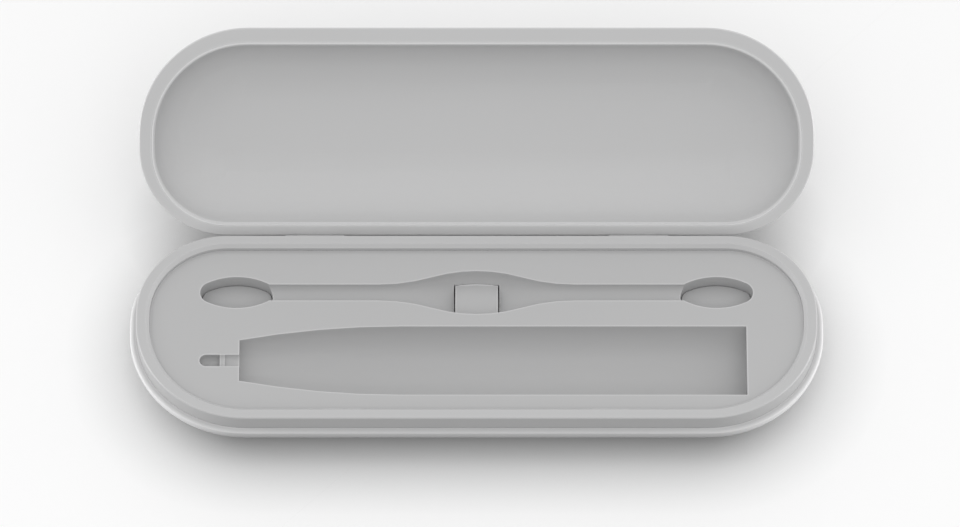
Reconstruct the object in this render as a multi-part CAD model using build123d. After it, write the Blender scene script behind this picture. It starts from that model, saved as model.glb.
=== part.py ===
from build123d import *
import math
import os

# Electric toothbrush travel case: a pill-shaped clamshell, shown open. Millimetres.
# X runs along the case, Y from the front to the hinge side, Z up. The origin is the middle of
# the flat underside. Each piece of the lid is drawn shut over the base, then swung open.

# ---- what the case holds ----
handle_r = 13.5            # trough for the round handle
handle_len = 171.1
handle_nose_r = 8.0        # the trough narrows to this at the handle's nose
handle_taper = 54.0        # length over which it narrows
shaft_r = 2.3              # slot for the drive shaft in front of the nose
shaft_len = 13.4
shaft_depth = 3.4
saddle_from_tip = 6.8      # where the rib that carries the shaft starts
saddle_t = 1.7
saddle_depth = 1.5
shallow_depth = 2.2        # slot between that rib and the handle
head_len = 86.35           # brush head, from the block in the middle to the pocket's far end
head_base_r = 8.6          # trough at the head's wide end
head_neck_r = 3.2          # trough at its thin neck
head_flare = 26.0          # length of the flare between the two
head_turn = 0.45           # the flare turns from convex to concave at this share of its way
oval_a = 12.4              # half length of the oval pocket for the bristles
oval_b = 6.2               # half width
oval_depth = 6.0
oval_tip = 0.68            # radius of its tips over its half width
oval_draft = 4.0           # degrees
pad_t = 1.2                # soft pad on the pocket's floor
pad_gap = 0.55             # the pad is this much smaller all round than the pocket's mouth
block_len = 14.5           # block between the two brush heads
block_foot = 6.05          # half width of its foot
block_gap = 0.45           # gap at each end of the block
block_drop = 5.2           # its top lies this far below the tray's surface
well_depth = 9.5           # well that the block stands in

# ---- margins from the rim's outer edge to what the tray holds ----
left_margin = 21.6
right_margin = 23.9
head_margin = 21.4
front_margin = 10.7
rear_margin = 12.65
web = 4.85                 # tray surface between the handle and the wide end of a head

# ---- plan of the rim ----
rim_length = max(left_margin + shaft_len + handle_len + right_margin,
                 2 * (block_len / 2 + head_len + head_margin))
rim_width = front_margin + 2 * handle_r + web + 2 * head_base_r + rear_margin
end_flat = 4.4             # straight stretch at each end
corner_shift = 3.5         # the front corners are this much rounder than the mean, the rear less
front_corner_r = (rim_width - end_flat) / 2 + corner_shift
rear_corner_r = (rim_width - end_flat) / 2 - corner_shift

# ---- base ----
cup_floor = 2.4
tray_clear = 2.1           # air under the handle trough
tray_skin = 1.5
tray_recess = 2.5          # the tray's surface lies this far below the rim
tray_plate = 2.2
neck_height = 6.3          # upright wall that shows between the rim and the cup's shoulder
skirt = 4.0                # part of the frame that goes down inside the cup
bulge = 2.27               # how far the cup stands out beyond the rim
bulge_drop = 1.7           # its widest line lies this far below the cup's upper edge
bulge_fall = 2.5           # height over which it turns into the flank
flank_angle = 124.0        # 90 is upright, 180 is flat
foot_rise = 1.4            # height of the rounding at the foot
foot_ring = 3.0            # flat ring inside the foot that the flank stands on
land = 3.3                 # flat top of the rim
bevel_w = 1.2              # bevel from the rim down to the tray
bevel_h = 1.1
edge = 0.3                 # broken outer edge of both rims
frame_wall = 1.9
groove_w = 1.4             # hollow under the rim
roof_t = 2.2               # thickness of the rim over that hollow
ledge_w = 0.9              # ledge that carries the tray
ledge_t = 1.5
fit_gap = 0.15             # between pieces that slip into each other
seam = 0.05                # closed joint line: frame on cup, tray in frame, liner in lid
base_height = cup_floor + tray_clear + tray_skin + handle_r + tray_recess

# ---- lid ----
lid_inset = 0.4            # the lid's rim lies this far inside the base's
closing_gap = 0.15
lid_land = 4.2             # mean width of the lid's rim
lid_shift = 0.8            # its hollow sits this much nearer the hinge than its outline
flange_t = 3.6
lid_wall = 1.6
lid_clear = 2.9            # room over the handle
liner_skin = 1.1
liner_air = 0.4            # between the liner's dish and the roof, bridged by low pads
liner_pad = 8.0
liner_pad_pitch = 50.0
lip_edge = 0.45            # broken edge of the upright lip round the liner's dish
lip_depth = 1.6            # the lip is straight to here
lip_draft = 0.2
blend_in = 2.75            # where the lip's hollow curve ends and the dish's arch starts
blend_up = 7.0
dish_shoulder = (0.35, 0.67)   # bend of the arch: shares of the way from there to the crown
dome_shoulder = (0.48, 0.776)  # bends of the outer dome: shares of the lid's height
dome_flank = (0.148, 0.47)
roof_flat = 9.2            # half width of the flat along the lid's crown
lid_depth = handle_r - tray_recess + lid_clear
lid_height = lid_depth + liner_skin + liner_air + lid_wall

# ---- hinge ----
open_angle = 137.0
hinge_x = 55.0             # middle of each hinge
hinge_out = 0.25           # axis behind the rim's rear edge
hinge_drop = 2.7           # axis below the rim
pin_r = 0.5
pin_run = 0.05             # running clearance of the arm on its pin
pin_seat = 0.02            # clearance of the pin in the knuckles
barrel_wall = 0.8
arm_w = 12.0
arm_gap = 0.3
knuckle_w = 3.6
barrel_gap = 0.2
sweep_gap = 0.1            # between the open arm and the slope that stops it
tongue_t = 1.8             # foot of the arm that seats in the lid's flange
tongue_depth = 1.4         # how far it goes in
tongue_rise = 0.9          # skin of the flange under it
tongue_fit = 0.1
arm_screw_r = 0.5
arm_screw_head_r = 0.9
arm_screw_head_h = 0.6
arm_screw_len = 4.2
arm_screw_x = 3.5

# ---- magnets and base screws ----
magnet_x = 45.0
magnet_l = 12.0
magnet_w = 1.8
magnet_h = 2.0
magnet_fit = 0.1
magnet_skin = 0.8          # plastic between each magnet and the face of its rim
base_magnet_inset = 2.75
lid_magnet_inset = 3.6
screw_r = 1.1
screw_head_r = 2.2
screw_head_h = 1.6
screw_sink = 0.5
screw_len = 9.0
screw_fit = 0.05
boss_r = 2.9
boss_meet = 7.0            # height where a boss of the tray stands on one of the cup

# ---- facets ----
facet_sag = 0.15           # arcs of a section are walked in chords that leave them by this much
hidden_sag = 0.35          # the same on the far side of a wall, which nobody sees

rim_z = base_height
tray_z = rim_z - tray_recess
neck_z = rim_z - neck_height
skirt_z = neck_z - skirt
ledge_z = tray_z - tray_plate
edge_y = rim_width / 2
handle_y = front_margin + handle_r - edge_y
head_y = edge_y - rear_margin - head_base_r
tip_x = left_margin - rim_length / 2
nose_x = tip_x + shaft_len
oval_x = block_len / 2 + head_len - oval_a
crown = edge_y - roof_flat
hinge_y = edge_y + hinge_out
hinge_z = rim_z - hinge_drop
hinge_axis = Axis((0, hinge_y, hinge_z), (-1, 0, 0))
barrel_r = pin_r + barrel_wall
arm_in = fit_gap - hinge_out
lid_z = rim_z + closing_gap
lid_edge = lid_inset + lid_land
tongue_z = lid_z + tongue_rise

# base screws, in the free corners of the tray
screw_points = [
    (tip_x + 2.4, handle_y - 9.0),
    (-oval_x - oval_a - 7.9, head_y - 3.0),
    (oval_x + oval_a + 7.9, head_y - 1.0),
    (nose_x + handle_len + 10.4, handle_y + 1.0),
]

MID_LOW = (Align.CENTER, Align.CENTER, Align.MIN)


def plan_wire(inset):
    """Plan outline moved inward by inset, starting in the middle of the front side."""
    x = rim_length / 2 - inset
    y = edge_y - inset
    rf = front_corner_r - inset
    rr = rear_corner_r - inset
    return Wire([
        Line((0, -y), (x - rf, -y)),
        CenterArc((x - rf, rf - y), rf, 270, 90),
        Line((x, rf - y), (x, y - rr)),
        CenterArc((x - rr, y - rr), rr, 0, 90),
        Line((x - rr, y), (rr - x, y)),
        CenterArc((rr - x, y - rr), rr, 90, 90),
        Line((-x, y - rr), (-x, rf - y)),
        CenterArc((rf - x, rf - y), rf, 180, 90),
        Line((rf - x, -y), (0, -y)),
    ])


def plate(inset, z, height):
    """Flat plate in the plan outline."""
    return Pos(0, 0, z) * extrude(Face(plan_wire(inset)), height)


def at(inset, z):
    """Point of a wall section: inset from the rim's outer edge, and height."""
    return Vector(0, inset - edge_y, z)


def polyline(points):
    return [Line(at(*a), at(*b)) for a, b in zip(points, points[1:])]


def arc_chain(points, direction):
    """Arcs through points of a section, each tangent to the one before."""
    arcs = []
    for a, b in zip(points, points[1:]):
        arcs.append(TangentArc(at(*a), at(*b), tangent=direction))
        direction = arcs[-1] % 1
    return arcs


def beside(arcs, distance):
    """The same arcs moved sideways by distance, to the left as one walks along them."""
    moved = []
    for arc in arcs:
        ends = [arc @ k + (arc % k).rotate(Axis.X, 90) * distance for k in (0, 1)]
        moved.append(TangentArc(*ends, tangent=arc % 0))
    return moved


def bends(point, angle, steps):
    """Lines and tangent arcs from a point of a section. Angles run from outward over down to
    inward, in degrees; each step gives its drop in height and the angle that it ends at."""
    edges = []
    for drop, end in steps:
        chord = math.radians((angle + end) / 2)
        after = (point[0] - drop / math.tan(chord), point[1] - drop)
        heading = Vector(0, -math.cos(math.radians(angle)), -math.sin(math.radians(angle)))
        if end == angle:
            edges.append(Line(at(*point), at(*after)))
        else:
            edges.append(TangentArc(at(*point), at(*after), tangent=heading))
        point = after
        angle = end
    return edges, point


def facets(edges, sag=facet_sag):
    """Chords in place of each arc, as few as keep within sag of it. Lines stay as they are."""
    lines = []
    for edge in edges:
        steps = 1
        if edge.geom_type == GeomType.CIRCLE:
            turn = edge.length / edge.radius
            steps = math.ceil(turn / (2 * math.acos(1 - sag / edge.radius)))
        points = [edge @ (i / steps) for i in range(steps + 1)]
        lines += [Line(a, b) for a, b in zip(points, points[1:])]
    return lines


def ring(edges):
    """Wall section carried once round the plan outline."""
    return sweep(Face(Wire(edges)), path=plan_wire(0))


def bar(radius, x, length, y=hinge_y, z=hinge_z):
    """Round bar along X, on the hinge axis unless told otherwise."""
    return Pos(x, y, z) * Rot(0, 90, 0) * Cylinder(radius, length)


def block(x, y0, y1, z0, z1, length):
    """Block centred on x, between two values of Y and of Z."""
    return Pos(x, (y0 + y1) / 2, (z0 + z1) / 2) * Box(length, y1 - y0, z1 - z0)


def hinge_prism(points, x, width):
    """Prism along X drawn in Y and Z from the hinge axis."""
    outline = Polyline([(0, hinge_y + y, hinge_z + z) for y, z in points], close=True)
    return Pos(x - width / 2, 0, 0) * extrude(Face(Wire(outline.edges())), width, dir=(1, 0, 0))


def swung(shape):
    """A piece of the lid, swung from shut to open."""
    return shape.rotate(hinge_axis, open_angle)


def mirrored_pair(build):
    """The same piece on the left and on the right."""
    return {"left": build(-1), "right": build(1)}


# ---------------------------------------------------------------- base

def arm_sweep(x):
    """Room that one hinge arm sweeps: a bore for its barrel and the slope it lands on."""
    reach = barrel_r + sweep_gap
    start = Vector(0, reach, 0).rotate(Axis.X, -open_angle)
    along = Vector(0, 0, 1).rotate(Axis.X, -open_angle)
    end = start + along * 9.5
    top = barrel_r + barrel_gap
    slope = [(start.Y, start.Z), (end.Y, end.Z), (end.Y, top), (start.Y, top)]
    width = arm_w + 2 * arm_gap
    return hinge_prism(slope, x, width) + bar(barrel_r + barrel_gap, x, width)


def base_cup():
    """Lower shell: a rounded shoulder that stands out past the rim, and flanks that draw in."""
    seat = -seam
    lip = bulge_drop / math.tan(math.radians(49)) - bulge
    outside, foot = bends((lip, neck_z), 0, [
        (bulge_drop, 98), (bulge_fall, flank_angle),
        (neck_z - bulge_drop - bulge_fall - foot_rise, flank_angle), (foot_rise, 180)])
    slope = math.tan(math.radians(flank_angle))
    knee = (frame_wall + fit_gap, skirt_z - 1.0)
    floor_in = knee[0] - (knee[1] - cup_floor) / slope
    inside = polyline([
        foot, (foot[0] + foot_ring, 0), (foot[0] + foot_ring, cup_floor), (floor_in, cup_floor), knee,
        (knee[0], skirt_z), (seat, skirt_z), (seat, neck_z), (lip, neck_z),
    ])
    cup = ring(facets(outside) + inside) + plate(foot[0] + foot_ring - 0.1, 0, cup_floor)
    for x, y in screw_points:
        cup += Pos(x, y, cup_floor - 0.4) * Cylinder(boss_r, boss_meet - cup_floor + 0.4, align=MID_LOW)
    for x, y in screw_points:
        cup -= Pos(x, y, -1) * Cylinder(screw_head_r + fit_gap, 1 + screw_sink + screw_head_h,
                                        align=MID_LOW)
        cup -= Pos(x, y, 0) * Cylinder(screw_r + screw_fit, boss_meet + 1, align=MID_LOW)
    for side in (-1, 1):
        cup -= arm_sweep(side * hinge_x)
    return cup


def base_frame():
    """Rim of the base: flat land, bevel, upright neck, and the ledge that carries the tray."""
    inner = land + bevel_w
    section = [
        (edge, rim_z), (land, rim_z), (inner, rim_z - bevel_h), (inner, ledge_z),
        (inner + ledge_w, ledge_z), (inner + ledge_w, ledge_z - ledge_t),
        (frame_wall + groove_w, ledge_z - ledge_t), (frame_wall + groove_w, rim_z - roof_t),
        (frame_wall, rim_z - roof_t), (frame_wall, skirt_z), (0, skirt_z), (0, rim_z - edge),
        (edge, rim_z),
    ]
    frame = ring(polyline(section))
    station = arm_w + 2 * (arm_gap + knuckle_w)
    for side in (-1, 1):
        x = side * hinge_x
        frame += block(x, edge_y - inner, edge_y - 0.4, ledge_z - ledge_t, rim_z - 1.0, station)
        frame += bar(barrel_r, x, station)
        frame -= arm_sweep(x)
        frame -= bar(pin_r + pin_seat, x, station - 1.2)
        frame -= block(side * magnet_x,
                       base_magnet_inset - magnet_w / 2 - magnet_fit - edge_y,
                       base_magnet_inset + magnet_w / 2 + magnet_fit - edge_y,
                       ledge_z - ledge_t - 1, rim_z - magnet_skin, magnet_l + 2 * magnet_fit)
    return frame


def turned(radii, y, grow):
    """Solid turned about a line along X in the tray's surface, from an outline of edges."""
    outline = facets(radii, hidden_sag if grow > 0 else facet_sag)
    return Pos(0, y, tray_z) * revolve(Face(Wire(outline)), Axis.X)


def handle_form(grow=0.0):
    """The handle's shape: a round bar that tapers to its nose. It stands grow larger all round."""
    x0 = nose_x - grow
    x1 = nose_x + handle_taper
    x2 = nose_x + handle_len + grow
    r0 = handle_nose_r + grow
    r1 = handle_r + grow
    return turned([
        TangentArc((x1, 0, r1), (x0, 0, r0), tangent=(-1, 0, 0)),
        Line((x0, 0, r0), (x0, 0, 0)),
        Line((x0, 0, 0), (x2, 0, 0)),
        Line((x2, 0, 0), (x2, 0, r1)),
        Line((x2, 0, r1), (x1, 0, r1)),
    ], handle_y, grow)


def head_form(side, grow=0.0):
    """Half of the brush-head trough: wide at the block, flaring down to the thin neck."""
    r0 = head_base_r + grow
    r2 = head_neck_r + grow
    x2 = block_len / 2 + head_flare
    x1 = head_turn * x2
    r1 = r0 + head_turn * (r2 - r0)
    swell = TangentArc((0, 0, r0), (x1, 0, r1), tangent=(1, 0, 0))
    half = turned([
        Line((0, 0, 0), (0, 0, r0)),
        swell,
        TangentArc((x1, 0, r1), (x2, 0, r2), tangent=swell % 1),
        Line((x2, 0, r2), (oval_x, 0, r2)),
        Line((oval_x, 0, r2), (oval_x, 0, 0)),
        Line((oval_x, 0, 0), (0, 0, 0)),
    ], head_y, grow)
    return half if side > 0 else mirror(half, Plane.YZ)


def oval_face(a, b):
    """Oval of four arcs, with half length a and half width b."""
    tip = oval_tip * b
    flat = ((a - tip) ** 2 + b ** 2 - tip ** 2) / (2 * (b - tip))
    tip_centre = Vector(a - tip, 0, 0)
    join = tip_centre + (tip_centre - Vector(0, b - flat, 0)).normalized() * tip
    x = join.X
    y = join.Y
    return Face(Wire([
        ThreePointArc((x, -y), (a, 0), (x, y)),
        ThreePointArc((x, y), (0, b), (-x, y)),
        ThreePointArc((-x, y), (-a, 0), (-x, -y)),
        ThreePointArc((-x, -y), (0, -b), (x, -y)),
    ]))


def oval(side, grow, z, height, draft=0.0):
    """Oval column in the bristle pocket, from z down, drawn in towards its lower end by draft."""
    face = oval_face(oval_a + grow, oval_b + grow)
    return Pos(side * oval_x, head_y, z) * extrude(face, height, dir=(0, 0, -1), taper=draft)


def shaft_slot(x0, x1, depth, grow=0.0, round_tip=False):
    """Round-bottomed slot for the drive shaft."""
    z = tray_z - depth + shaft_r
    radius = shaft_r + grow
    slot = bar(radius, (x0 + x1) / 2, x1 - x0, handle_y, z)
    slot += block((x0 + x1) / 2, handle_y - radius, handle_y + radius, z, tray_z + 1, x1 - x0)
    if round_tip:
        slot = slot + Pos(x0, handle_y, z) * Sphere(radius)
        slot = slot + Pos(x0, handle_y, z) * Cylinder(radius, tray_z + 1 - z, align=MID_LOW)
    return slot


def tray():
    """Moulded tray: a plate with thin-walled troughs for the handle and two brush heads."""
    below = block(0, -rim_width, rim_width, -1, tray_z, 2 * rim_length)
    half_well = block_len / 2 + block_gap
    foot = block_foot + fit_gap
    skins = handle_form(tray_skin) + head_form(1, tray_skin) + head_form(-1, tray_skin)
    skins += shaft_slot(tip_x - tray_skin, nose_x, shaft_depth, tray_skin)
    skins += block(0, head_y - foot - tray_skin, head_y + foot + tray_skin,
                   tray_z - well_depth - tray_skin, tray_z, 2 * (half_well + tray_skin))
    for side in (-1, 1):
        skins += oval(side, tray_skin, tray_z, oval_depth + tray_skin)
    body = plate(land + bevel_w + seam, ledge_z, tray_plate) + (skins & below)
    for x, y in screw_points:
        body += Pos(x, y, boss_meet) * Cylinder(boss_r, ledge_z - boss_meet + 0.5, align=MID_LOW)
    body -= handle_form() + head_form(1) + head_form(-1)
    body -= block(0, head_y - foot, head_y + foot, tray_z - well_depth, tray_z + 1, 2 * half_well)
    saddle_x = tip_x + saddle_from_tip
    body -= shaft_slot(tip_x + shaft_r, saddle_x, shaft_depth, round_tip=True)
    body -= shaft_slot(saddle_x - 0.1, saddle_x + saddle_t + 0.1, saddle_depth)
    body -= shaft_slot(saddle_x + saddle_t, nose_x + 1, shallow_depth)
    for side in (-1, 1):
        body -= oval(side, 0, tray_z, oval_depth, draft=oval_draft)
    for x, y in screw_points:
        body -= Pos(x, y, boss_meet - 1) * Cylinder(screw_r + screw_fit, screw_len - 3.5, align=MID_LOW)
    return body


def divider_block():
    """Block in the wide middle of the brush-head trough; it keeps the two heads apart."""
    top = tray_z - block_drop
    foot = tray_z - well_depth
    form = head_form(1, -fit_gap) + head_form(-1, -fit_gap)
    form += block(0, head_y - block_foot, head_y + block_foot, foot, top, block_len)
    return form & block(0, -rim_width, rim_width, foot, top, block_len)


def head_pad(side):
    """Soft oval pad on the floor of a bristle pocket."""
    top = tray_z - oval_depth + pad_t
    pad = oval(side, -pad_gap, top, pad_t)
    return chamfer(pad.edges().group_by(Axis.Z)[-1], pad_t / 6)


def base_magnet(side):
    y = base_magnet_inset - edge_y
    top = rim_z - magnet_skin
    return block(side * magnet_x, y - magnet_w / 2, y + magnet_w / 2, top - magnet_h, top, magnet_l)


def base_screws():
    """Four round-headed screws, driven up from the underside into the tray's bosses."""
    screws = []
    for x, y in screw_points:
        head = Cylinder(screw_head_r, screw_head_h, align=MID_LOW)
        head -= Box(2.6, 0.6, 1.2) + Box(0.6, 2.6, 1.2)
        shank = Pos(0, 0, screw_head_h) * Cylinder(screw_r, screw_len, align=MID_LOW)
        screws.append(Pos(x, y, screw_sink) * (head + shank))
    return Compound(children=screws)


def hinge_pin(side):
    """Steel pin through both knuckles and the arm between them."""
    return bar(pin_r, side * hinge_x, arm_w + 2 * (arm_gap + knuckle_w) - 1.4)


# ---------------------------------------------------------------- lid

def lid_shell():
    """Outer lid: one domed wall, and a thick flange that makes the rim."""
    top = lid_z + lid_height
    bend = [(lid_inset + across * lid_height, lid_z + up * lid_height)
            for across, up in (dome_shoulder, dome_flank)]
    outer = arc_chain([(crown, top)] + bend + [(lid_inset, lid_z + edge)], Vector(0, -1, 0))
    inner = beside(outer, lid_wall)
    foot = Vector(0, (inner[-1] @ 1).Y, lid_z)
    walls = facets(outer) + facets(inner, hidden_sag) + [
        Line(outer[-1] @ 1, at(lid_inset + edge, lid_z)),
        Line(at(lid_inset + edge, lid_z), foot),
        Line(foot, inner[-1] @ 1),
        Line(inner[0] @ 0, at(crown + 1, top - lid_wall)),
        Line(at(crown + 1, top - lid_wall), at(crown + 1, top)),
        Line(at(crown + 1, top), at(crown, top)),
    ]
    flange = plate(lid_inset + 1.2, lid_z, flange_t)
    flange -= Pos(0, lid_shift, 0) * plate(lid_edge, lid_z - 1, flange_t + 2)
    shell = ring(walls) + plate(crown + 0.8, top - lid_wall, lid_wall) + flange
    for side in (-1, 1):
        x = side * hinge_x
        shell -= block(x, edge_y - lid_inset - tongue_depth - tongue_fit, edge_y, tongue_z,
                       tongue_z + tongue_t + tongue_fit, arm_w + 2 * tongue_fit)
        for dx in (-arm_screw_x, arm_screw_x):
            shell -= arm_screw(x + dx, screw_fit)
        shell -= block(side * magnet_x, lid_magnet_inset - magnet_w / 2 - magnet_fit - edge_y,
                       lid_edge + lid_shift + 1 - edge_y, lid_z + magnet_skin,
                       lid_z + magnet_skin + magnet_h + magnet_fit, magnet_l + 2 * magnet_fit)
    return swung(shell)


def arm_screw(x, grow=0.0):
    """Countersunk screw that goes through an arm into the lid's flange, pointing forwards."""
    z = tongue_z + tongue_t / 2
    face = hinge_y + barrel_r
    shank = Cylinder(arm_screw_r + grow, arm_screw_len, align=MID_LOW)
    head = Cylinder(arm_screw_head_r + grow, arm_screw_head_h, align=MID_LOW)
    return Pos(x, face, z) * Rot(90, 0, 0) * (shank + head)


def lid_liner():
    """Smooth inner skin of the lid: a short upright lip that runs into an arched dish."""
    n0 = lid_edge + seam
    n1 = n0 + liner_skin
    z0 = lid_z + 0.1
    blend = (n1 + blend_in, lid_z + blend_up)
    shoulder = (blend[0] + dish_shoulder[0] * (crown - blend[0]),
                blend[1] + dish_shoulder[1] * (lid_depth - blend_up))
    dish = arc_chain([
        (crown, lid_z + lid_depth), shoulder, blend, (n1 + lip_draft, lid_z + lip_depth),
    ], Vector(0, -1, 0))
    back = beside(dish, -liner_skin)
    walls = facets(dish) + facets(back, hidden_sag) + polyline([
        (n1 + lip_draft, lid_z + lip_depth), (n1, z0 + lip_edge), (n1 - lip_edge, z0), (n0, z0),
    ]) + [
        Line(at(n0, z0), back[-1] @ 1),
        Line(back[0] @ 0, at(crown + 1, lid_z + lid_depth + liner_skin)),
        Line(at(crown + 1, lid_z + lid_depth + liner_skin), at(crown + 1, lid_z + lid_depth)),
        Line(at(crown + 1, lid_z + lid_depth), dish[0] @ 0),
    ]
    liner = ring(walls) + plate(crown + 0.8, lid_z + lid_depth, liner_skin)
    for step in (-1.5, -0.5, 0.5, 1.5):
        top = lid_z + lid_depth + liner_skin
        liner += block(step * liner_pad_pitch, -liner_pad / 2, liner_pad / 2, top - 0.2,
                       top + liner_air, liner_pad)
    return swung(Pos(0, lid_shift, 0) * liner)


def hinge_arm(side):
    """Arm behind the rear edge: a barrel on the pin, a blade, and a foot in the lid's flange."""
    x = side * hinge_x
    low = tongue_z - hinge_z
    high = low + tongue_t
    reach = edge_y - lid_inset - tongue_depth - hinge_y
    blade = hinge_prism([
        (arm_in, 0), (arm_in, low), (reach, low), (reach, high), (arm_in, high),
        (arm_in + 0.3, high + 0.5), (barrel_r - 0.5, high + 0.5), (barrel_r, high), (barrel_r, 0),
    ], x, arm_w)
    arm = blade + bar(barrel_r, x, arm_w) - bar(pin_r + pin_run, x, arm_w + 1)
    for dx in (-arm_screw_x, arm_screw_x):
        arm -= arm_screw(x + dx, screw_fit)
    return swung(arm)


def hinge_screws():
    """Four small screws that hold the arms to the lid's flange."""
    screws = []
    for x in (-hinge_x - arm_screw_x, -hinge_x + arm_screw_x, hinge_x - arm_screw_x, hinge_x + arm_screw_x):
        slot = block(x, hinge_y + barrel_r - 0.3, hinge_y + barrel_r + 1,
                     tongue_z + tongue_t / 2 - 0.15, tongue_z + tongue_t / 2 + 0.15, 1.2)
        screws.append(swung(arm_screw(x) - slot))
    return Compound(children=screws)


def lid_magnet(side):
    y = lid_magnet_inset - edge_y
    z = lid_z + magnet_skin
    return swung(block(side * magnet_x, y - magnet_w / 2, y + magnet_w / 2, z, z + magnet_h, magnet_l))


# ---------------------------------------------------------------- output

pieces = {
    "base_cup": base_cup(),
    "base_frame": base_frame(),
    "tray": tray(),
    "divider_block": divider_block(),
    "base_screws": base_screws(),
    "lid_shell": lid_shell(),
    "lid_liner": lid_liner(),
    "hinge_screws": hinge_screws(),
}
for name, build in (("head_pad", head_pad), ("base_magnet", base_magnet), ("hinge_pin", hinge_pin),
                    ("hinge_arm", hinge_arm), ("lid_magnet", lid_magnet)):
    for hand, shape in mirrored_pair(build).items():
        pieces[name + "_" + hand] = shape

os.makedirs("parts", exist_ok=True)
for name, shape in pieces.items():
    export_step(shape, "parts/" + name + ".step")
    box = shape.bounding_box()
    print(name, len(shape.solids()), round(shape.volume), box.min, box.max)
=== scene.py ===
# %% [markdown]
# # Toothbrush travel case, standing open
# The case is a pill-shaped clamshell in pale satin plastic: a base with a moulded tray, and a domed
# lid lying back on its hinge. The solid model holds every part in its real place and size. This
# lesson gives each part its finish, rounds the edges that a mould would round, and lights the case
# the way a pale product is lit on a white table. It could all be modelled again in Blender, but the
# solids are already true to size, so they are kept and only dressed.

# %% Load the solid model
import bpy
import math
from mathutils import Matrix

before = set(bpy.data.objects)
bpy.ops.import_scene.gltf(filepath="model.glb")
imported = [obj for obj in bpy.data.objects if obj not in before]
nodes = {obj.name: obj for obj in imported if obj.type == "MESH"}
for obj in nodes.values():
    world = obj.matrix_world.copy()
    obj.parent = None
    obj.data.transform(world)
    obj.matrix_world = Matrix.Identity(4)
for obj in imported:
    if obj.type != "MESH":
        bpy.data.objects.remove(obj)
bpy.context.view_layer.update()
scene = bpy.context.scene
MM = 0.001
print("parts:", ", ".join(sorted(nodes)))

# %% [markdown]
# ## Camera
# A long lens far away keeps the long sides of the case parallel, as in a catalogue picture. It
# looks down at 58 degrees, straight at the front. A short lens near by would spread the front
# corners, which the picture doesn't show. The focal length follows from how many pixels one metre
# of the case has to cover.

# %% Camera
ELEVATION = math.radians(58.0)
DISTANCE = 3.0
PIXELS_PER_METRE = 2960.0
IMAGE_WIDTH = 960
LOOK_AT = (0.00115, 0.01994, 0.030)

camera_data = bpy.data.cameras.new("catalogue_lens")
camera_data.sensor_width = 36.0
camera_data.lens = PIXELS_PER_METRE * DISTANCE / IMAGE_WIDTH * camera_data.sensor_width
camera_data.clip_end = 20.0
camera = bpy.data.objects.new("camera", camera_data)
camera.location = (LOOK_AT[0],
                   LOOK_AT[1] - DISTANCE * math.cos(ELEVATION),
                   LOOK_AT[2] + DISTANCE * math.sin(ELEVATION))
camera.rotation_euler = (math.pi / 2 - ELEVATION, 0, 0)
scene.collection.objects.link(camera)
scene.camera = camera
print("lens", round(camera_data.lens), "mm at", DISTANCE, "m")

# %% [markdown]
# ## Helpers for shader nodes
# Every finish below is a small graph of nodes. Four short functions keep the graphs readable: one
# adds a node and fills in its inputs by name, one adds a node of arithmetic, one strings two
# sockets together, and one writes a grey as a colour. They could be left out, at the price of
# three lines where one will do.

# %% Node helpers
def put(tree, kind, **inputs):
    """Add a shader node; keyword names match its input names, with _ for a space."""
    node = tree.nodes.new(kind)
    for name, value in inputs.items():
        node.inputs[name.replace("_", " ")].default_value = value
    return node


def sums(tree, operation, *terms):
    """Add a Math node. Each term is a number or the output socket of another node."""
    node = tree.nodes.new("ShaderNodeMath")
    node.operation = operation
    for place, term in zip(node.inputs, terms):
        if isinstance(term, (int, float)):
            place.default_value = term
        else:
            wire(tree, term, place)
    return node.outputs["Value"]


def wire(tree, source, target):
    """Connect an output socket to an input socket."""
    tree.links.new(source, target)


def grey(level):
    """One linear grey as a colour."""
    return (level, level, level, 1.0)


print("node helpers ready")

# %% [markdown]
# ## Sky of the white room
# A real white studio isn't equally bright all round: the ceiling behind the table is the
# brightest part, the floor in front the darkest. A picture of a room could be wrapped round the
# scene, but one dot product with the direction towards the bright part gives the same smooth run
# from dark to light. This is what makes the rear wall of each hollow darker than its front wall.

# %% Sky
SKY_DARK, SKY_BRIGHT = 0.34, 1.09
BRIGHT_SIDE = (0.0, 0.50, 0.866)

world = bpy.data.worlds.new("white_room")
world.use_nodes = True
sky = world.node_tree
background = sky.nodes["Background"]
background.inputs["Color"].default_value = grey(1.0)
directions = put(sky, "ShaderNodeTexCoord")
towards_light = put(sky, "ShaderNodeVectorMath")
towards_light.operation = "DOT_PRODUCT"
towards_light.inputs[1].default_value = BRIGHT_SIDE
sky_run = put(sky, "ShaderNodeMapRange", From_Min=-1.0, From_Max=1.0,
              To_Min=SKY_DARK, To_Max=SKY_BRIGHT)
wire(sky, directions.outputs["Generated"], towards_light.inputs[0])
wire(sky, towards_light.outputs["Value"], sky_run.inputs["Value"])
wire(sky, sky_run.outputs["Result"], background.inputs["Strength"])
scene.world = world
scene.view_settings.view_transform = "Standard"
print("sky from", SKY_DARK, "to", SKY_BRIGHT)

# %% [markdown]
# ## Side strips and front panel
# Long strips stand on the table to the left and right. They are low and narrow, so they catch the
# round shoulders at both ends. Light linking sends a strong pair to the lower shell and a weak,
# lower pair to the two rims, and keeps both off the dish and the tray, which are evenly grey.
# Without the linking, the strips would draw bright bands on the far walls of the dish. A weak
# panel high in front lifts the inside of the lid.

# %% Lamps
STRIP_ASIDE = 1.5
STRIP_SIZE = (0.5, 0.05)
SHOULDER_POWER, SHOULDER_HEIGHT = 24.0, 0.22
RIM_POWER, RIM_HEIGHT = 9.0, 0.035
FRONT_POWER, FRONT_PLACE, FRONT_SIZE = 4.0, (0.0, -1.1, 1.67), (1.4, 1.0)


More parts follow.
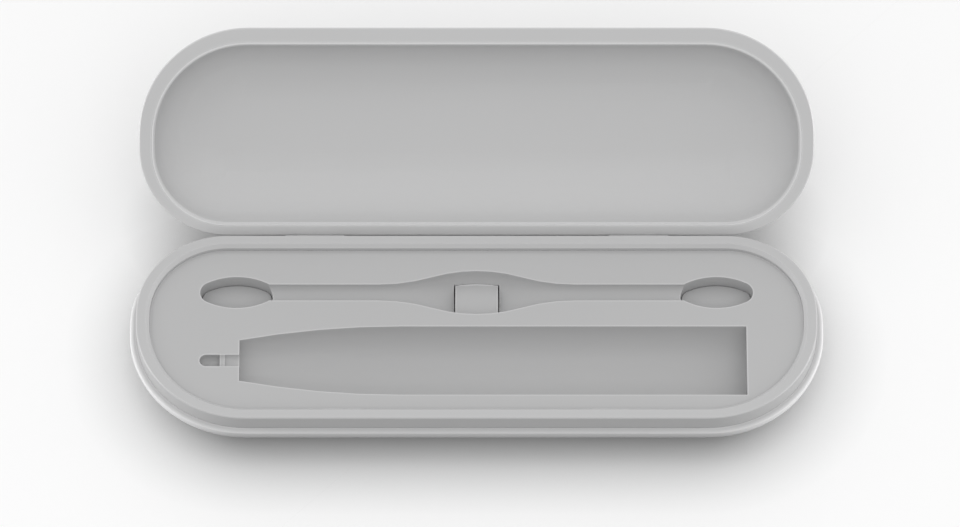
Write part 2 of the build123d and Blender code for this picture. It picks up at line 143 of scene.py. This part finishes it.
def panel(name, place, size, power):
    """Soft rectangular lamp, aimed at the middle of the case. Size in metres, power in watts."""
    lamp = bpy.data.lights.new(name, "AREA")
    lamp.shape = "RECTANGLE"
    lamp.size, lamp.size_y = size
    lamp.energy = power
    holder = bpy.data.objects.new(name, lamp)
    holder.location = place
    holder.rotation_euler = (-holder.location).to_track_quat("-Z", "Y").to_euler()
    scene.collection.objects.link(holder)
    return holder


def strips(name, power, height, parts):
    """A pair of low strips, left and right, that light only the given parts."""
    lit = bpy.data.collections.new(name + "_lit")
    for part in parts:
        lit.objects.link(nodes[part])
    for side, x in (("left", -STRIP_ASIDE), ("right", STRIP_ASIDE)):
        strip = panel(name + "_" + side, (x, 0.0, height), STRIP_SIZE, power)
        strip.light_linking.receiver_collection = lit


strips("shoulder_strip", SHOULDER_POWER, SHOULDER_HEIGHT, ["base_cup"])
strips("rim_strip", RIM_POWER, RIM_HEIGHT, ["base_frame", "lid_shell"])
panel("front_panel", FRONT_PLACE, FRONT_SIZE, FRONT_POWER)

# %% [markdown]
# ## Table
# The table must look white to the camera and still keep the shadow of the case. More light would
# also whiten it, but would wash out the case. So its colour depends on the ray: to the camera, and
# in anything that mirrors it, it is nearly white, and for light that bounces on to the case it is a
# mid grey, so the underside doesn't glow. An ambient occlusion mask with a short reach paints a
# deeper shadow into the table's colour right at the foot.

# %% Table
TABLE_HALF = 40.0
TABLE_SEEN, TABLE_BOUNCE = 0.97, 0.35
CONTACT_REACH, CONTACT_SHADE = 0.026, 0.60
CONTACT_CLOSED = 0.3

table_mesh = bpy.data.meshes.new("table")
corners = [(x * TABLE_HALF, y * TABLE_HALF, 0) for x, y in ((-1, -1), (1, -1), (1, 1), (-1, 1))]
table_mesh.from_pydata(corners, [], [(0, 1, 2, 3)])
table = bpy.data.objects.new("table", table_mesh)
scene.collection.objects.link(table)

table_white = bpy.data.materials.new("table_white")
table_white.use_nodes = True
tree = table_white.node_tree
surface = tree.nodes["Principled BSDF"]
surface.inputs["Roughness"].default_value = 0.9
surface.inputs["Specular IOR Level"].default_value = 0.0
# Painted shadow: the table's colour darkens close to the case.
near_case = put(tree, "ShaderNodeAmbientOcclusion", Distance=CONTACT_REACH)
near_case.samples = 16
painted_foot_shadow = put(tree, "ShaderNodeMapRange", From_Min=CONTACT_CLOSED, From_Max=1.0,
              To_Min=CONTACT_SHADE, To_Max=TABLE_SEEN)
wire(tree, near_case.outputs["AO"], painted_foot_shadow.inputs["Value"])
ray = put(tree, "ShaderNodeLightPath")
seen = ray.outputs["Is Camera Ray"]
for kind in ("Is Glossy Ray", "Is Transmission Ray"):
    seen = sums(tree, "MAXIMUM", seen, ray.outputs[kind])
choice = put(tree, "ShaderNodeMix")
choice.data_type = "RGBA"
choice.inputs["A"].default_value = grey(TABLE_BOUNCE)
wire(tree, seen, choice.inputs["Factor"])
wire(tree, painted_foot_shadow.outputs["Result"], choice.inputs["B"])
wire(tree, choice.outputs["Result"], surface.inputs["Base Color"])
table_mesh.materials.append(table_white)
print("table seen at", TABLE_SEEN, "and bounces", TABLE_BOUNCE)

# %% [markdown]
# ## Edges that a mould rounds
# The outer edges of a moulding are rounded by a few tenths of a millimetre, and that is where they
# catch a thin line of light. Only sharp edges are rounded. An edge that lies against another part
# stays sharp, so that the joint between them closes to a thin line. A bevel by angle alone would
# open a groove there, so two small node groups are built: one compares each edge's turn and its
# distance from the neighbour and stores a bevel weight, the other shades smoothly across every
# edge that turns only a little.

# %% Node groups for edges
SHARP = math.radians(38.0)
SMOOTH_BELOW = math.radians(33.0)
JOINT = 0.4 * MM


def geometry_group(name):
    """Empty geometry node group with one geometry in and one out."""
    group = bpy.data.node_groups.new(name, "GeometryNodeTree")
    for direction in ("INPUT", "OUTPUT"):
        group.interface.new_socket("Geometry", in_out=direction, socket_type="NodeSocketGeometry")
    return group, group.nodes.new("NodeGroupInput"), group.nodes.new("NodeGroupOutput")


def compare(group, source, test, limit):
    """Node that compares a number with a limit; gives its yes or no."""
    node = group.nodes.new("FunctionNodeCompare")
    node.data_type = "FLOAT"
    node.operation = test
    node.inputs["B"].default_value = limit
    wire(group, source, node.inputs["A"])
    return node.outputs["Result"]


def pick_edges(neighbour):
    """Node group: give bevel weight to sharp edges, except where another part lies on them."""
    group, start, end = geometry_group("pick_edges_" + (neighbour.name if neighbour else "free"))
    turn = group.nodes.new("GeometryNodeInputMeshEdgeAngle")
    chosen = compare(group, turn.outputs["Unsigned Angle"], "GREATER_THAN", SHARP)
    if neighbour:
        other = group.nodes.new("GeometryNodeObjectInfo")
        other.transform_space = "RELATIVE"
        other.inputs["Object"].default_value = neighbour
        near = group.nodes.new("GeometryNodeProximity")
        wire(group, other.outputs["Geometry"], near.inputs[0])
        free = compare(group, near.outputs["Distance"], "GREATER_THAN", JOINT)
        both = group.nodes.new("FunctionNodeBooleanMath")
        both.operation = "AND"
        wire(group, chosen, both.inputs[0])
        wire(group, free, both.inputs[1])
        chosen = both.outputs[0]
    weight = group.nodes.new("GeometryNodeStoreNamedAttribute")
    weight.data_type = "FLOAT"
    weight.domain = "EDGE"
    weight.inputs["Name"].default_value = "bevel_weight_edge"
    wire(group, start.outputs[0], weight.inputs["Geometry"])
    wire(group, chosen, weight.inputs["Value"])
    wire(group, weight.outputs["Geometry"], end.inputs[0])
    return group


def shade_by_angle(limit):
    """Node group: shade smoothly across every edge that turns less than the limit."""
    group, start, end = geometry_group("moulded_surface")
    faces = group.nodes.new("GeometryNodeSetShadeSmooth")
    edges = group.nodes.new("GeometryNodeSetShadeSmooth")
    edges.domain = "EDGE"
    turn = group.nodes.new("GeometryNodeInputMeshEdgeAngle")
    gentle = compare(group, turn.outputs["Unsigned Angle"], "LESS_EQUAL", limit)
    wire(group, start.outputs[0], faces.inputs["Geometry"])
    wire(group, faces.outputs["Geometry"], edges.inputs["Geometry"])
    wire(group, gentle, edges.inputs["Shade Smooth"])
    wire(group, edges.outputs["Geometry"], end.inputs[0])
    return group


moulded_surface = shade_by_angle(SMOOTH_BELOW)
print("smooth below", round(math.degrees(SMOOTH_BELOW)), "degrees")

# %% [markdown]
# ## Modifiers of a moulding
# The solid model comes as many small flat faces, one sheet per surface. A stack of modifiers turns
# each part into a moulding: weld the sheets, dissolve the flat triangles, round the picked edges,
# weld away the slivers that a bevel leaves where several edges meet, and shade. Modifiers are
# chosen because they leave the solid underneath as it is.

# %% Rounded edges
WELD_REACH = 0.01 * MM
SLIVER_REACH = 0.002 * MM
FLAT_BELOW = math.radians(0.6)
BEVEL_SEGMENTS = 3


def round_edges(part, radius=0.0, neighbour=None):
    """Weld, dissolve flats, round the free sharp edges by radius, then shade by angle."""
    weld = part.modifiers.new("weld", "WELD")
    weld.merge_threshold = WELD_REACH
    flats = part.modifiers.new("flats", "DECIMATE")
    flats.decimate_type = "DISSOLVE"
    flats.angle_limit = FLAT_BELOW
    if radius:
        picked = part.modifiers.new("picked_edges", "NODES")
        picked.node_group = pick_edges(neighbour)
        bevel = part.modifiers.new("edge_radius", "BEVEL")
        bevel.width = radius
        bevel.segments = BEVEL_SEGMENTS
        bevel.limit_method = "WEIGHT"
        slivers = part.modifiers.new("slivers", "WELD")
        slivers.merge_threshold = SLIVER_REACH
    finish = part.modifiers.new("moulded_surface", "NODES")
    finish.node_group = moulded_surface
    flat = part.modifiers.new("even_flats", "WEIGHTED_NORMAL")
    flat.keep_sharp = True


EDGE_RADIUS = {
    "base_frame": (0.30 * MM, None),
    "tray": (0.45 * MM, nodes["base_frame"]),
    "divider_block": (0.25 * MM, None),
    "lid_shell": (0.25 * MM, nodes["lid_liner"]),
}
for name, part in nodes.items():
    round_edges(part, *EDGE_RADIUS.get(name, ()))
print("edges rounded on", ", ".join(EDGE_RADIUS))

# %% [markdown]
# ## Grain from the mould
# Spark erosion leaves a fine texture in a steel mould, and every moulding copies it. It is far too
# fine for geometry, so a noise drives the bump. A second, broad noise lets the roughness and the
# tone drift a little over the part, because no moulding comes out perfectly even. The group is
# built once, and each plastic sets its own grain.

# %% Grain group
DRIFT_SCALE = 18.0
TONE_SHARE = 0.6
GRAIN_INPUTS = (("Grain Size", 2600.0), ("Roughness", 0.45), ("Drift", 0.05))


def socket_list(group, direction, kind, labelled):
    """Give a shader node group its named sockets, with a default value for each input."""
    for label, value in labelled:
        socket = group.interface.new_socket(label, in_out=direction, socket_type=kind)
        if value is not None:
            socket.default_value = value


def grain_group():
    """Mould texture: a height for the bump and a small drift of roughness and tone."""
    group = bpy.data.node_groups.new("mould_grain", "ShaderNodeTree")
    socket_list(group, "INPUT", "NodeSocketFloat", GRAIN_INPUTS)
    socket_list(group, "OUTPUT", "NodeSocketFloat",
                (("Height", None), ("Roughness", None), ("Tone", None)))
    start = group.nodes.new("NodeGroupInput")
    end = group.nodes.new("NodeGroupOutput")
    place = put(group, "ShaderNodeTexCoord")
    fine = put(group, "ShaderNodeTexNoise", Detail=3.0, Roughness=0.6)
    broad = put(group, "ShaderNodeTexNoise", Scale=DRIFT_SCALE, Detail=2.0)
    wire(group, place.outputs["Object"], fine.inputs["Vector"])
    wire(group, place.outputs["Object"], broad.inputs["Vector"])
    wire(group, start.outputs["Grain Size"], fine.inputs["Scale"])
    centred = sums(group, "SUBTRACT", broad.outputs[0], 0.5)
    drift = sums(group, "MULTIPLY", centred, start.outputs["Drift"])
    rough = sums(group, "ADD", start.outputs["Roughness"], drift)
    tone = sums(group, "MULTIPLY_ADD", drift, TONE_SHARE, 1.0)
    wire(group, fine.outputs[0], end.inputs["Height"])
    wire(group, rough, end.inputs["Roughness"])
    wire(group, tone, end.inputs["Tone"])
    return group


mould_grain = grain_group()
print("grain group:", [socket.name for socket in mould_grain.interface.items_tree])

# %% [markdown]
# ## Painted shade in crevices, painted highlight on edges
# Deep corners get a painted shade, a little darker, and outward edges get a painted highlight,
# a little paler. Both could be painted by hand. Two ambient occlusion masks find them on any shape
# instead: one looks out from the surface for corners, the other looks into the part for edges.

# %% Painted shade and highlight group
EDGE_HIGHLIGHT_REACH = 0.6 * MM
EDGE_HIGHLIGHT_FULL = 0.45
TONE_AND_PAINTED_LIGHT_INPUTS = (("Tone", 1.0), ("Painted Shade Reach", 0.007), ("Painted Shade Depth", 0.16),
               ("Painted Edge Highlight", 0.10))


def painted_light_group():
    """Colour of a part: painted shade in crevices, a painted highlight on outward edges."""
    group = bpy.data.node_groups.new("painted_shade_and_highlight", "ShaderNodeTree")
    socket_list(group, "INPUT", "NodeSocketColor", (("Color", None),))
    socket_list(group, "INPUT", "NodeSocketFloat", TONE_AND_PAINTED_LIGHT_INPUTS)
    socket_list(group, "OUTPUT", "NodeSocketColor", (("Color", None),))
    start = group.nodes.new("NodeGroupInput")
    end = group.nodes.new("NodeGroupOutput")
    # Painted shade: the colour darkens where nearby surfaces close in on it.
    crevice_painted_shade = put(group, "ShaderNodeAmbientOcclusion")
    crevice_painted_shade.samples = 12
    wire(group, start.outputs["Painted Shade Reach"], crevice_painted_shade.inputs["Distance"])
    shade = put(group, "ShaderNodeMapRange", From_Min=0.0, From_Max=1.0, To_Max=1.0)
    wire(group, sums(group, "SUBTRACT", 1.0, start.outputs["Painted Shade Depth"]),
         shade.inputs["To Min"])
    wire(group, crevice_painted_shade.outputs["AO"], shade.inputs["Value"])
    # Painted highlight: the colour grows paler along outward edges.
    edge = put(group, "ShaderNodeAmbientOcclusion", Distance=EDGE_HIGHLIGHT_REACH)
    edge.inside = True
    edge.samples = 8
    outward = put(group, "ShaderNodeMapRange", From_Min=1.0, From_Max=EDGE_HIGHLIGHT_FULL,
                  To_Min=0.0, To_Max=1.0)
    wire(group, edge.outputs["AO"], outward.inputs["Value"])
    painted_highlight = sums(group, "MULTIPLY_ADD", outward.outputs[0], start.outputs["Painted Edge Highlight"], 1.0)
    both = sums(group, "MULTIPLY", shade.outputs[0], painted_highlight)
    level = sums(group, "MULTIPLY", both, start.outputs["Tone"])
    scaled = put(group, "ShaderNodeVectorMath")
    scaled.operation = "SCALE"
    wire(group, start.outputs["Color"], scaled.inputs[0])
    wire(group, level, scaled.inputs["Scale"])
    wire(group, scaled.outputs[0], end.inputs["Color"])
    return group


painted_shade_and_highlight = painted_light_group()
print("tone group:", [socket.name for socket in painted_shade_and_highlight.interface.items_tree])

# %% [markdown]
# ## Plastics of the case
# All the mouldings are one family of neutral grey. The outer shells are satin with a fine grain.
# The lid's shell and lining are painted lighter than the base and the tray, as painted light for
# the stronger light on the open lid. The tray and the lining of the lid have a flatter grain, and
# the pads are matt rubber. Five separate materials could be drawn one by one. They are one
# function, because each finish is the same graph with its own numbers.

# %% Plastic finishes
COOL = 0.002
BUMP_STRENGTH = 0.35


def moulded_plastic(name, level, roughness, grain_size, grain_height,
                    crevice_painted_shade=0.16, painted_highlight=0.12, gloss=0.45):
    """Moulded plastic: grain in bump, drift in roughness, painted shade and highlight in colour."""
    material = bpy.data.materials.new(name)
    material.use_nodes = True
    tree = material.node_tree
    surface = tree.nodes["Principled BSDF"]
    surface.inputs["Specular IOR Level"].default_value = gloss
    grain = tree.nodes.new("ShaderNodeGroup")
    grain.node_tree = mould_grain
    grain.inputs["Grain Size"].default_value = grain_size
    grain.inputs["Roughness"].default_value = roughness
    tone = tree.nodes.new("ShaderNodeGroup")
    tone.node_tree = painted_shade_and_highlight
    tone.inputs["Color"].default_value = (level, level, level + COOL, 1.0)
    tone.inputs["Painted Shade Depth"].default_value = crevice_painted_shade
    tone.inputs["Painted Edge Highlight"].default_value = painted_highlight
    bump = put(tree, "ShaderNodeBump", Strength=BUMP_STRENGTH, Distance=grain_height)
    wire(tree, grain.outputs["Tone"], tone.inputs["Tone"])
    wire(tree, tone.outputs["Color"], surface.inputs["Base Color"])
    wire(tree, grain.outputs["Roughness"], surface.inputs["Roughness"])
    wire(tree, grain.outputs["Height"], bump.inputs["Height"])
    wire(tree, bump.outputs["Normal"], surface.inputs["Normal"])
    return material


# Besides its grain, each plastic sets the depth of its painted crevice shade and the strength of
# its painted edge highlight.
shell_satin = moulded_plastic("shell_satin", 0.500, roughness=0.42, grain_size=2600.0,
                              grain_height=0.010 * MM, crevice_painted_shade=0.12, painted_highlight=0.20)
# The lid's shell is painted a shade lighter than the base shell, as painted light for the stronger
# light on the open lid.
lid_satin_painted_lighter = moulded_plastic("lid_satin_painted_lighter", 0.555, roughness=0.42, grain_size=2600.0,
                            grain_height=0.010 * MM, crevice_painted_shade=0.12, painted_highlight=0.20)
tray_satin = moulded_plastic("tray_satin", 0.470, roughness=0.48, grain_size=2200.0,
                             grain_height=0.008 * MM, painted_highlight=0.35)
# The lid's lining is painted lighter than the tray, as painted light for the light that falls into
# the open lid.
liner_satin_painted_lighter = moulded_plastic("liner_satin_painted_lighter", 0.570, roughness=0.46, grain_size=2200.0,
                              grain_height=0.008 * MM, crevice_painted_shade=0.10, painted_highlight=0.50)
pad_rubber = moulded_plastic("pad_rubber", 0.435, roughness=0.62, grain_size=3400.0,
                             grain_height=0.012 * MM, painted_highlight=0.05, gloss=0.30)
plastics = (shell_satin, lid_satin_painted_lighter, tray_satin, liner_satin_painted_lighter, pad_rubber)
print("plastics:", ", ".join(material.name for material in plastics))

# %% [markdown]
# ## Metal parts
# The hinge pins and screws are plated steel. The magnets under the rims have a nickel skin. Fine
# scratches across the metal come from a stretched noise, which changes only the roughness, because
# plating scatters light without losing its colour. The same group as the plastics paints shade into
# the drive slots, so the metal is duller there, and paints a highlight on its edges.

# %% Metal finishes
SCRATCH_STRETCH = (400.0, 4000.0, 4000.0)
# Reach and depth of the painted shade in the drive slots.
SLOT_SHADE_REACH = 1.0 * MM
SLOT_PAINTED_SHADE = 0.35


def plated_metal(name, colour, roughness, scratch):
    """Plated steel: scratches in its roughness, painted shade in recesses, painted edge highlight.
    """
    material = bpy.data.materials.new(name)
    material.use_nodes = True
    tree = material.node_tree
    surface = tree.nodes["Principled BSDF"]
    surface.inputs["Metallic"].default_value = 1.0
    tone = tree.nodes.new("ShaderNodeGroup")
    tone.node_tree = painted_shade_and_highlight
    tone.inputs["Color"].default_value = (*colour, 1.0)
    # Painted shade darkens the colour in the drive slots; the group also paints a highlight on
    # edges.
    tone.inputs["Painted Shade Reach"].default_value = SLOT_SHADE_REACH
    tone.inputs["Painted Shade Depth"].default_value = SLOT_PAINTED_SHADE
    wire(tree, tone.outputs["Color"], surface.inputs["Base Color"])
    place = put(tree, "ShaderNodeTexCoord")
    stretch = put(tree, "ShaderNodeMapping", Scale=SCRATCH_STRETCH)
    lines = put(tree, "ShaderNodeTexNoise", Scale=1.0, Detail=2.0)
    spread = put(tree, "ShaderNodeMapRange", To_Min=roughness - scratch,
                 To_Max=roughness + scratch)
    wire(tree, place.outputs["Object"], stretch.inputs["Vector"])
    wire(tree, stretch.outputs["Vector"], lines.inputs["Vector"])
    wire(tree, lines.outputs[0], spread.inputs["Value"])
    wire(tree, spread.outputs["Result"], surface.inputs["Roughness"])
    return material


pin_steel = plated_metal("pin_steel", (0.58, 0.58, 0.59), 0.32, 0.10)
screw_zinc = plated_metal("screw_zinc", (0.50, 0.50, 0.52), 0.38, 0.12)
magnet_nickel = plated_metal("magnet_nickel", (0.62, 0.60, 0.57), 0.25, 0.06)
print("metals:", pin_steel.name, screw_zinc.name, magnet_nickel.name)

# %% [markdown]
# ## Which part gets which finish
# The parts are named for what they are, so a finish can be looked up by a word in the name: every
# screw is zinc, every pin is steel. The big mouldings are listed by their whole names. What is left
# is the base's cup and frame and the hinge arms, which are of the same satin.

# %% Hand the finishes out
FINISH_BY_WORD = {"screw": screw_zinc, "pin": pin_steel, "magnet": magnet_nickel,
                  "pad": pad_rubber}
FINISH_BY_NAME = {"lid_liner": liner_satin_painted_lighter, "lid_shell": lid_satin_painted_lighter, "tray": tray_satin,
                  "divider_block": tray_satin}


def finish_for(name):
    """The finish of a part, by the part's own name."""
    for word, finish in FINISH_BY_WORD.items():
        if word in name:
            return finish
    return FINISH_BY_NAME.get(name, shell_satin)


for name, part in nodes.items():
    part.data.materials.clear()
    part.data.materials.append(finish_for(name))
    print(name, "->", part.data.materials[0].name)
